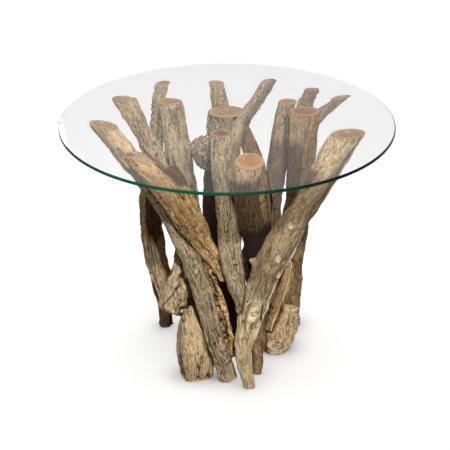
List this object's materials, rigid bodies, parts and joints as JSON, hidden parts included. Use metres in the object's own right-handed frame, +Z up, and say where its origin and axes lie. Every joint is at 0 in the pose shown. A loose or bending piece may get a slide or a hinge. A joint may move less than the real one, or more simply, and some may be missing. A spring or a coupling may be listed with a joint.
{
  "type": "driftwood side table",
  "caption": "Low side table: a cluster of weathered, dowelled driftwood limbs that splays out to carry a loose round clear glass top on small pads.",
  "frame": {"origin": "on the floor, under the middle of the round glass", "axes": "+Z up, -Y to the front of the table, +X to its right seen from the front"},
  "size_m": [0.6099, 0.61, 0.48],
  "materials": {
    "driftwood": "weathered, bare",
    "peg_wood": "bare",
    "clear_pad": "clear, soft",
    "plate_glass": "polished"
  },
  "bodies": {
    "base": {"left_leaning_limb": "driftwood", "forked_branch": "driftwood", "crooked_branch": "driftwood", "rear_left_slab": "driftwood", "left_inner_post": "driftwood", "rear_upright_branch": "driftwood", "long_cross_limb": "driftwood", "centre_trunk": "driftwood", "centre_front_limb": "driftwood", "front_angled_limb": "driftwood", "rear_centre_branch": "driftwood", "right_inner_post": "driftwood", "right_post": "driftwood", "rear_right_branch": "driftwood", "right_prop": "driftwood", "front_right_trunk": "driftwood", "left_post": "driftwood", "front_left_foot": "driftwood", "right_foot": "driftwood", "split_slab": "driftwood", "right_brace": "driftwood", "shoulder_peg": "peg_wood", "joint_dowels": "peg_wood", "glass_bumpers": "clear_pad"},
    "glass": {"glass_top": "plate_glass"}
  },
  "joints": [
    {"name": "glass_lift", "type": "slide", "parent": "base", "child": "glass", "axis": [0, 0, 1], "range_m": [0, 0.3]}
  ]
}
